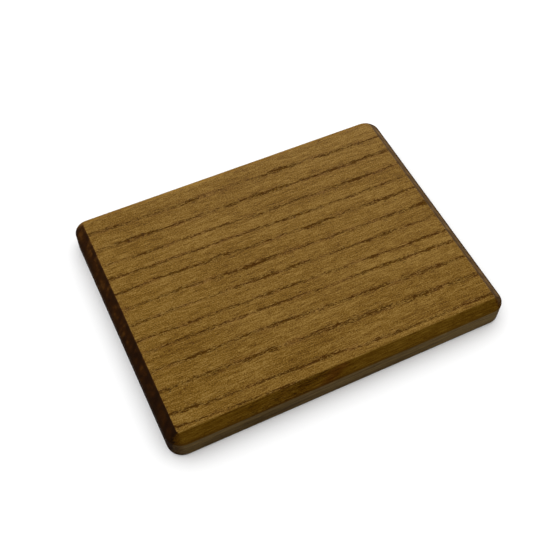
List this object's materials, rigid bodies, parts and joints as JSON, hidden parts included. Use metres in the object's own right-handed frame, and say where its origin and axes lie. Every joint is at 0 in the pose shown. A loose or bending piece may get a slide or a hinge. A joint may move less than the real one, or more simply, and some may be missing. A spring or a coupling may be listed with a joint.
{
  "type": "wall plaque",
  "caption": "Blank hardwood wall plaque with rounded corners, a chamfered face edge, and recessed keyhole hangers on its back.",
  "frame": {"origin": "middle of the footprint, on the surface that the four bumpers rest on, the plaque lying face up", "axes": "+X along the long side, to the right as the face is seen when it hangs landscape; +Y to the top edge of that view; +Z out of the face"},
  "size_m": [0.2286, 0.1778, 0.0201],
  "materials": {
    "wood": "satin, stained golden brown, open grain",
    "hanger_steel": "zinc-plated, satin",
    "screw_steel": "yellow zinc-plated",
    "bumper_rubber": "matt, dark brown"
  },
  "bodies": {
    "root": {"plaque_board": "wood", "hanger_plate_landscape": "hanger_steel", "hanger_plate_portrait": "hanger_steel", "screw_landscape_lower": "screw_steel", "screw_landscape_upper": "screw_steel", "screw_portrait_lower": "screw_steel", "screw_portrait_upper": "screw_steel", "bumper_upper_left": "bumper_rubber", "bumper_upper_right": "bumper_rubber", "bumper_lower_left": "bumper_rubber", "bumper_lower_right": "bumper_rubber"}
  },
  "joints": []
}
